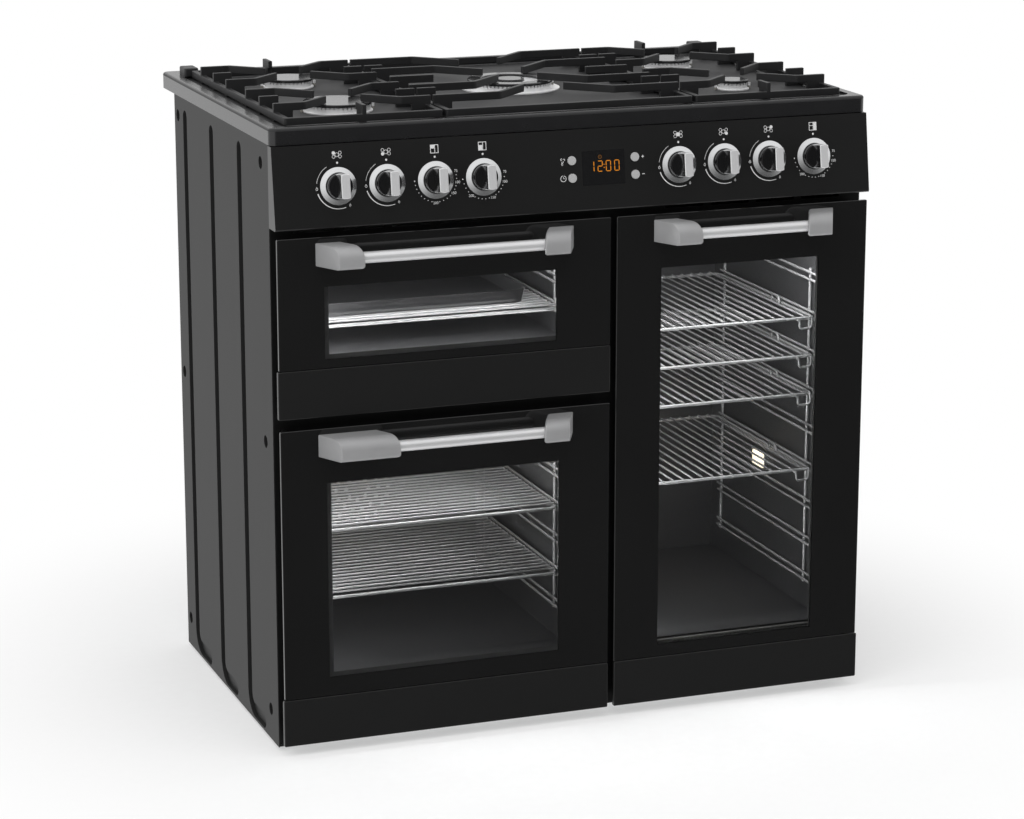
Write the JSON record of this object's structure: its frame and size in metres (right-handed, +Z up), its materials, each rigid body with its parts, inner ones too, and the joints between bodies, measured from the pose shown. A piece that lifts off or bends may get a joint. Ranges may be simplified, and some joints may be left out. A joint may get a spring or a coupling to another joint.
{
  "type": "dual fuel range cooker",
  "caption": "Freestanding range cooker with a gas hob, cast pan supports, leaning knob panel, drop-down grill door, side-hung oven door and a tall side-hung oven door.",
  "frame": {"origin": "on the floor, in the middle of the overall width and of the overall depth over the handles", "axes": "+X to the right of a person facing the doors, +Y from the doors towards the wall, +Z up"},
  "size_m": [0.9, 0.66, 0.922],
  "materials": {
    "side_enamel": "satin grey",
    "galvanised_sheet": "matt galvanised",
    "frame_paint": "black semi-gloss",
    "hob_enamel": "black gloss enamel",
    "panel_paint": "black satin",
    "display_glass": "black gloss",
    "knob_metal": "satin ring",
    "knob_plastic": "black gloss",
    "button_plastic": "pale grey satin",
    "gas_fittings": "turned brass and steel",
    "burner_alloy": "cast, matt",
    "cap_enamel": "matt black enamel",
    "cast_supports": "matt black",
    "oven_enamel": "dark grey enamel",
    "bright_wire": "bright plated",
    "element_tube": "heat-stained",
    "motor_steel": "plain steel",
    "lamp_glass": "clear",
    "seal_rope": "woven glass-fibre rope",
    "terminal_plastic": "black",
    "foot_plastic": "black",
    "door_glass": "printed black glass",
    "door_sheet": "dark enamel",
    "trim_paint": "black satin",
    "bar_steel": "bright satin",
    "handle_end_metal": "satin grey"
  },
  "bodies": {
    "cooker": {"side_panel_left": "side_enamel", "side_panel_right": "side_enamel", "back_panel": "galvanised_sheet", "base_tray": "galvanised_sheet", "front_frame": "frame_paint", "hob_plate": "hob_enamel", "control_panel": "panel_paint", "clock_module": "display_glass", "knob_bezels": "knob_metal", "control_gear": "gas_fittings", "burner_bases": "burner_alloy", "burner_crowns": "burner_alloy", "burner_caps": "cap_enamel", "top_oven_liner": "oven_enamel", "main_oven_liner": "oven_enamel", "tall_oven_liner": "oven_enamel", "side_racks": "bright_wire", "oven_shelves": "bright_wire", "grill_tray": "oven_enamel", "heating_elements": "element_tube", "fan_cover": "oven_enamel", "fan_motor": "motor_steel", "oven_lamps": "lamp_glass", "door_seals": "seal_rope", "terminal_box": "terminal_plastic"},
    "fan": {"fan_wheel": "motor_steel"},
    "top_door": {"top_door_panes": "door_glass", "top_door_inner": "door_sheet", "top_door_trim": "trim_paint", "top_door_handle_bar": "bar_steel", "top_door_handle_ends": "handle_end_metal"},
    "main_door": {"main_door_panes": "door_glass", "main_door_inner": "door_sheet", "main_door_trim": "trim_paint", "main_door_handle_bar": "bar_steel", "main_door_handle_ends": "handle_end_metal"},
    "tall_door": {"tall_door_panes": "door_glass", "tall_door_inner": "door_sheet", "tall_door_trim": "trim_paint", "tall_door_handle_bar": "bar_steel", "tall_door_handle_ends": "handle_end_metal"},
    "knob_rear_left": {"knob_rear_left": "knob_plastic"},
    "knob_front_left": {"knob_front_left": "knob_plastic"},
    "knob_top_oven": {"knob_top_oven": "knob_plastic"},
    "knob_main_oven": {"knob_main_oven": "knob_plastic"},
    "knob_wok": {"knob_wok": "knob_plastic"},
    "knob_front_right": {"knob_front_right": "knob_plastic"},
    "knob_rear_right": {"knob_rear_right": "knob_plastic"},
    "knob_tall_oven": {"knob_tall_oven": "knob_plastic"},
    "button_mode": {"button_mode": "button_plastic"},
    "button_clock": {"button_clock": "button_plastic"},
    "button_plus": {"button_plus": "button_plastic"},
    "button_minus": {"button_minus": "button_plastic"},
    "pan_support_left": {"pan_support_left": "cast_supports"},
    "pan_support_centre": {"pan_support_centre": "cast_supports"},
    "pan_support_right": {"pan_support_right": "cast_supports"},
    "foot_front_left": {"foot_front_left": "foot_plastic"},
    "foot_front_right": {"foot_front_right": "foot_plastic"},
    "foot_rear_left": {"foot_rear_left": "foot_plastic"},
    "foot_rear_right": {"foot_rear_right": "foot_plastic"}
  },
  "joints": [
    {"name": "top_door_hinge", "type": "hinge", "parent": "cooker", "child": "top_door", "pos_m": [-0.20275, -0.276, 0.5085], "axis": [1, 0, 0], "range_deg": [0, 90]},
    {"name": "main_door_hinge", "type": "hinge", "parent": "cooker", "child": "main_door", "pos_m": [-0.434, -0.276, 0.2465], "axis": [0, 0, -1], "range_deg": [0, 95]},
    {"name": "tall_door_hinge", "type": "hinge", "parent": "cooker", "child": "tall_door", "pos_m": [0.434, -0.276, 0.38225], "axis": [0, 0, 1], "range_deg": [0, 95]},
    {"name": "knob_rear_left_turn", "type": "hinge", "parent": "cooker", "child": "knob_rear_left", "pos_m": [-0.357, -0.28079, 0.8175], "axis": [0, -0.9898, 0.1426], "range_deg": [0, 210]},
    {"name": "knob_front_left_turn", "type": "hinge", "parent": "cooker", "child": "knob_front_left", "pos_m": [-0.2864, -0.28079, 0.8175], "axis": [0, -0.9898, 0.1426], "range_deg": [0, 210]},
    {"name": "knob_top_oven_turn", "type": "hinge", "parent": "cooker", "child": "knob_top_oven", "pos_m": [-0.2158, -0.28079, 0.8175], "axis": [0, -0.9898, 0.1426], "range_deg": [-270, 0]},
    {"name": "knob_main_oven_turn", "type": "hinge", "parent": "cooker", "child": "knob_main_oven", "pos_m": [-0.1452, -0.28079, 0.8175], "axis": [0, -0.9898, 0.1426], "range_deg": [-270, 0]},
    {"name": "knob_wok_turn", "type": "hinge", "parent": "cooker", "child": "knob_wok", "pos_m": [0.1512, -0.28079, 0.8175], "axis": [0, -0.9898, 0.1426], "range_deg": [0, 210]},
    {"name": "knob_front_right_turn", "type": "hinge", "parent": "cooker", "child": "knob_front_right", "pos_m": [0.2218, -0.28079, 0.8175], "axis": [0, -0.9898, 0.1426], "range_deg": [0, 210]},
    {"name": "knob_rear_right_turn", "type": "hinge", "parent": "cooker", "child": "knob_rear_right", "pos_m": [0.2924, -0.28079, 0.8175], "axis": [0, -0.9898, 0.1426], "range_deg": [0, 210]},
    {"name": "knob_tall_oven_turn", "type": "hinge", "parent": "cooker", "child": "knob_tall_oven", "pos_m": [0.363, -0.28079, 0.8175], "axis": [0, -0.9898, 0.1426], "range_deg": [-270, 0]},
    {"name": "button_mode_press", "type": "slide", "parent": "cooker", "child": "button_mode", "axis": [0, 0.9898, -0.1426], "range_m": [0, 0.0015], "stiffness_N_per_m": 800},
    {"name": "button_clock_press", "type": "slide", "parent": "cooker", "child": "button_clock", "axis": [0, 0.9898, -0.1426], "range_m": [0, 0.0015], "stiffness_N_per_m": 800},
    {"name": "button_plus_press", "type": "slide", "parent": "cooker", "child": "button_plus", "axis": [0, 0.9898, -0.1426], "range_m": [0, 0.0015], "stiffness_N_per_m": 800},
    {"name": "button_minus_press", "type": "slide", "parent": "cooker", "child": "button_minus", "axis": [0, 0.9898, -0.1426], "range_m": [0, 0.0015], "stiffness_N_per_m": 800},
    {"name": "pan_support_left_lift", "type": "slide", "parent": "cooker", "child": "pan_support_left", "axis": [0, 0, 1], "range_m": [0, 0.15]},
    {"name": "pan_support_centre_lift", "type": "slide", "parent": "cooker", "child": "pan_support_centre", "axis": [0, 0, 1], "range_m": [0, 0.15]},
    {"name": "pan_support_right_lift", "type": "slide", "parent": "cooker", "child": "pan_support_right", "axis": [0, 0, 1], "range_m": [0, 0.15]},
    {"name": "foot_front_left_extend", "type": "slide", "parent": "cooker", "child": "foot_front_left", "axis": [0, 0, -1], "range_m": [0, 0.03]},
    {"name": "foot_front_right_extend", "type": "slide", "parent": "cooker", "child": "foot_front_right", "axis": [0, 0, -1], "range_m": [0, 0.03]},
    {"name": "foot_rear_left_extend", "type": "slide", "parent": "cooker", "child": "foot_rear_left", "axis": [0, 0, -1], "range_m": [0, 0.03]},
    {"name": "foot_rear_right_extend", "type": "slide", "parent": "cooker", "child": "foot_rear_right", "axis": [0, 0, -1], "range_m": [0, 0.03]},
    {"name": "fan_spin", "type": "hinge", "parent": "cooker", "child": "fan", "pos_m": [-0.208, 0.16, 0.266], "axis": [0, 1, 0], "continuous": true}
  ]
}
